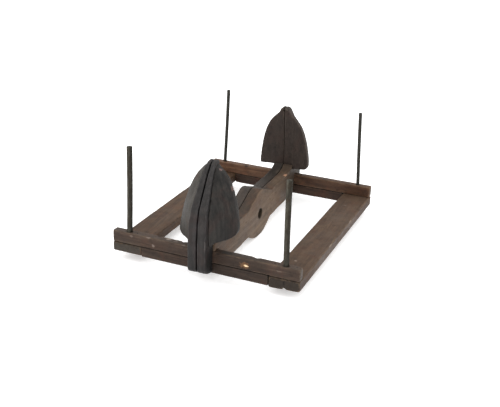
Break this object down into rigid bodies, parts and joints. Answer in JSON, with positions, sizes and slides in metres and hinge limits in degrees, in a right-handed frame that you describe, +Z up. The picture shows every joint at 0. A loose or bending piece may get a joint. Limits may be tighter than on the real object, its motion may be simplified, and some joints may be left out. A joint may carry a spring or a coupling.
{
  "type": "loom",
  "caption": "Small wooden table loom: open frame with upright metal rods and a double centre beam with hubbed bars, curved end posts and leaf-shaped wings.",
  "frame": {"origin": "centre of the plan, level with the undersides of the two hubs", "axes": "+Z up, +Y from the near rail to the far rail, along the centre beam, +X to the right along the rails"},
  "size_m": [0.3, 0.4124, 0.1827],
  "materials": {
    "frame_wood": "dark worn reddish brown wood, waxed",
    "beam_wood": "handled brown wood, slightly lighter",
    "dark_wood": "very dark, almost black wood",
    "rod_metal": "dull dark iron rod",
    "iron": "rusted cut nails",
    "brass": "worn brass pin"
  },
  "bodies": {
    "frame": {"side_board_left": "frame_wood", "side_board_right": "frame_wood", "near_top_rail": "frame_wood", "far_top_rail": "frame_wood", "near_lower_lath": "frame_wood", "far_lower_lath": "frame_wood", "rail_nails": "iron", "brass_pin": "brass"},
    "left_half_beam": {"beam_bar_left": "beam_wood", "near_left_post": "dark_wood", "far_left_post": "dark_wood", "near_left_wing": "dark_wood", "far_left_wing": "dark_wood"},
    "right_half_beam": {"beam_bar_right": "beam_wood", "near_right_post": "dark_wood", "far_right_post": "dark_wood", "near_right_wing": "dark_wood", "far_right_wing": "dark_wood"},
    "near_left_rod_body": {"near_left_rod": "rod_metal"},
    "near_right_rod_body": {"near_right_rod": "rod_metal"},
    "far_left_rod_body": {"far_left_rod": "rod_metal"},
    "far_right_rod_body": {"far_right_rod": "rod_metal"}
  },
  "joints": [
    {"name": "left_half_beam_slide", "type": "slide", "parent": "frame", "child": "left_half_beam", "axis": [-1, 0, 0], "range_m": [0, 0.07]},
    {"name": "right_half_beam_slide", "type": "slide", "parent": "frame", "child": "right_half_beam", "axis": [1, 0, 0], "range_m": [0, 0.07]},
    {"name": "near_left_rod_lift", "type": "slide", "parent": "frame", "child": "near_left_rod_body", "axis": [0.0223, 0, 0.9998], "range_m": [0, 0.035]},
    {"name": "near_right_rod_lift", "type": "slide", "parent": "frame", "child": "near_right_rod_body", "axis": [-0.0078, 0, 1], "range_m": [0, 0.035]},
    {"name": "far_left_rod_lift", "type": "slide", "parent": "frame", "child": "far_left_rod_body", "axis": [0.0313, 0, 0.9995], "range_m": [0, 0.035]},
    {"name": "far_right_rod_lift", "type": "slide", "parent": "frame", "child": "far_right_rod_body", "axis": [-0.0438, 0, 0.999], "range_m": [0, 0.035]}
  ]
}
